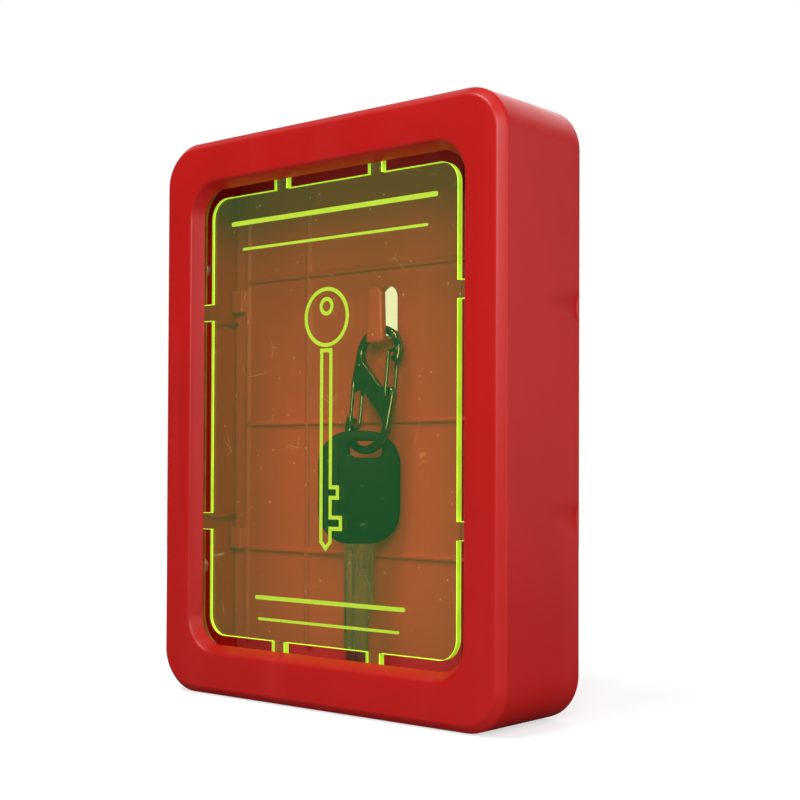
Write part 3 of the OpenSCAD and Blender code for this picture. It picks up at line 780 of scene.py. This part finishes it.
def pale_floor():
    """Finish of the floor: grey that takes the shadow, and a glow that makes it white.

    It glows to the camera, straight through the pane and where gloss mirrors its far side. Where
    gloss mirrors its near side it is as dark as the room.
    """
    material, tree, shader, output = new_material(
        "pale_floor", Roughness=0.9, Specular_IOR_Level=0.0)
    where = place_node(tree, "ShaderNodeTexCoord")
    mottle = place_node(tree, "ShaderNodeTexNoise", {"Scale": 3.0, "Detail": 2.0})
    tone = two_tone(tree, *FLOOR_GREYS)
    dim = two_tone(tree, second=(ROOM, ROOM, ROOM))
    reach = place_node(tree, "ShaderNodeVectorMath", operation="LENGTH")
    glow_there = map_range(tree, (0.1, 0.5), (0.62, 1.0))
    along = place_node(tree, "ShaderNodeVectorMath", {1: FAR_SIDE}, operation="DOT_PRODUCT")
    behind = map_range(tree, (0.1, 0.4))
    path = place_node(tree, "ShaderNodeLightPath")
    straight = seen_straight(tree, path)
    indirect = maths(tree, "MAXIMUM")
    lit = maths(tree, "MAXIMUM")
    indirect_lit = maths(tree, "MULTIPLY")
    indirect_dim = maths(tree, "SUBTRACT")
    seen = maths(tree, "MAXIMUM")
    strength = maths(tree, "MULTIPLY")
    glow = place_node(tree, "ShaderNodeEmission")
    both = place_node(tree, "ShaderNodeAddShader")
    join(tree, [(where, "Object", mottle, "Vector"), (mottle, "Fac", tone, FACTOR),
                (path, "Is Glossy Ray", indirect, 0), (path, "Is Transmission Ray", indirect, 1),
                (where, "Object", along, 0), (along, "Value", behind, "Value"),
                (behind, "Result", lit, 0), (straight, "Value", lit, 1),
                (indirect, "Value", indirect_lit, 0), (lit, "Value", indirect_lit, 1),
                (indirect, "Value", indirect_dim, 0), (indirect_lit, "Value", indirect_dim, 1),
                (indirect_dim, "Value", dim, FACTOR), (tone, COLOUR_MIX, dim, COLOUR_A),
                (dim, COLOUR_MIX, shader, "Base Color"),
                (path, "Is Camera Ray", seen, 0), (indirect_lit, "Value", seen, 1),
                (where, "Object", reach, 0), (reach, "Value", glow_there, "Value"),
                (seen, "Value", strength, 0), (glow_there, "Result", strength, 1),
                (strength, "Value", glow, "Strength"),
                (shader, "BSDF", both, 0), (glow, "Emission", both, 1),
                (both, "Shader", output, "Surface")])
    return material


def make_floor():
    """A pale disc just under the box."""
    mesh = bpy.data.meshes.new("floor")
    work = bmesh.new()
    bmesh.ops.create_circle(work, cap_ends=True, segments=96, radius=FLOOR_R)
    bmesh.ops.translate(work, verts=work.verts, vec=(0, 0, -BOX_H / 2 * MM - FLOOR_GAP))
    work.to_mesh(mesh)
    work.free()
    floor = bpy.data.objects.new("floor", mesh)
    bpy.context.scene.collection.objects.link(floor)
    dress(floor, pale_floor())


def make_world():
    """The studio round the object, with an even light.

    It is white to the camera, straight through the pane and where gloss mirrors the far side, and
    a dim room where gloss mirrors the near side.
    """
    world = bpy.data.worlds.new("studio")
    bpy.context.scene.world = world
    world.use_nodes = True
    tree = world.node_tree
    tree.nodes.clear()
    output = place_node(tree, "ShaderNodeOutputWorld")
    back = place_node(tree, "ShaderNodeBackground", {"Color": (1, 1, 1, 1)})
    where = place_node(tree, "ShaderNodeTexCoord")
    along = place_node(tree, "ShaderNodeVectorMath", {1: FAR_SIDE}, operation="DOT_PRODUCT")
    behind = map_range(tree, (0.55, 0.90), (ROOM, 1.0))
    path = place_node(tree, "ShaderNodeLightPath")
    indirect = maths(tree, "MAXIMUM")
    ambient = place_node(tree, "ShaderNodeMix", {FLOAT_A: AMBIENT}, data_type="FLOAT")
    straight = seen_straight(tree, path)
    plain = maths(tree, "MAXIMUM")
    final = place_node(tree, "ShaderNodeMix", {FLOAT_B: 1.0}, data_type="FLOAT")
    join(tree, [(where, "Generated", along, 0), (along, "Value", behind, "Value"),
                (path, "Is Glossy Ray", indirect, 0), (path, "Is Transmission Ray", indirect, 1),
                (indirect, "Value", ambient, FACTOR), (behind, "Result", ambient, FLOAT_B),
                (path, "Is Camera Ray", plain, 0), (straight, "Value", plain, 1),
                (plain, "Value", final, FACTOR), (ambient, FLOAT_MIX, final, FLOAT_A),
                (final, FLOAT_MIX, back, "Strength"), (back, "Background", output, "Surface")])


def soft_lamp(name, place, size, power):
    """A rectangular lamp that points at the origin."""
    data = bpy.data.lights.new(name, "AREA")
    data.shape = "RECTANGLE"
    data.size, data.size_y = size
    data.energy = power
    lamp = bpy.data.objects.new(name, data)
    bpy.context.scene.collection.objects.link(lamp)
    lamp.location = place
    lamp.rotation_euler = (-Vector(place)).to_track_quat("-Z", "Y").to_euler()
    return lamp


def make_lamps():
    """The studio's lamps; the large one behind is never seen itself, nor through the pane."""
    lamps = {name: soft_lamp(name, place, size, power) for name, place, size, power in LAMPS}
    lamps["back_light"].visible_camera = False
    lamps["back_light"].visible_transmission = False


def make_camera():
    """Camera at the photograph's place: 64 mm lens, turned 40 degrees to the right side."""
    yaw, pitch, roll = (math.radians(a) for a in (CAMERA_YAW, CAMERA_PITCH, CAMERA_ROLL))
    ahead = Vector((-math.sin(yaw) * math.cos(pitch), math.cos(yaw) * math.cos(pitch),
                    math.sin(pitch)))
    right = Vector((math.cos(yaw), math.sin(yaw), 0))
    up = right.cross(ahead)
    right_rolled = math.cos(roll) * right + math.sin(roll) * up
    up_rolled = -math.sin(roll) * right + math.cos(roll) * up
    data = bpy.data.cameras.new("photo_camera")
    data.sensor_width = SENSOR
    data.lens = LENS
    data.shift_x, data.shift_y = SHIFT_X, SHIFT_Y
    data.clip_start = 0.01
    camera = bpy.data.objects.new("photo_camera", data)
    bpy.context.scene.collection.objects.link(camera)
    turn = Matrix((right_rolled, up_rolled, -ahead)).transposed().to_4x4()
    camera.matrix_world = Matrix.Translation(CAMERA_PLACE) @ turn
    bpy.context.scene.camera = camera


# The object and its studio

def make_pieces():
    """New pieces in place of three CAD nodes, and the engraving, which has no CAD node."""
    dress(make_cover(), cover_red())
    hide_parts("front_cover")
    make_pane()
    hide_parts("break_pane")
    make_engraving()
    dress(make_key_head(), head_black())
    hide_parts("key_head")


def dress_nodes():
    """Better finishes for the CAD nodes that stay."""
    black = carabiner_black()
    for node in ("carabiner_body", "upper_gate", "lower_gate"):
        dress(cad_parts[node], black)
    dress(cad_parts["back_plate"], plate_red_painted_sheen())
    dress(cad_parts["key_blade"], blade_nickel_painted_reflection())
    dress(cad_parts["pane_screws"], screw_steel())


def make_studio():
    """Floor, background, lamps and camera."""
    make_floor()
    make_world()
    make_lamps()
    make_camera()
    bpy.context.scene.view_settings.view_transform = "Standard"


build_moulded_skin()
build_soft_edge()
build_fine_marks()
make_pieces()
dress_nodes()
make_studio()
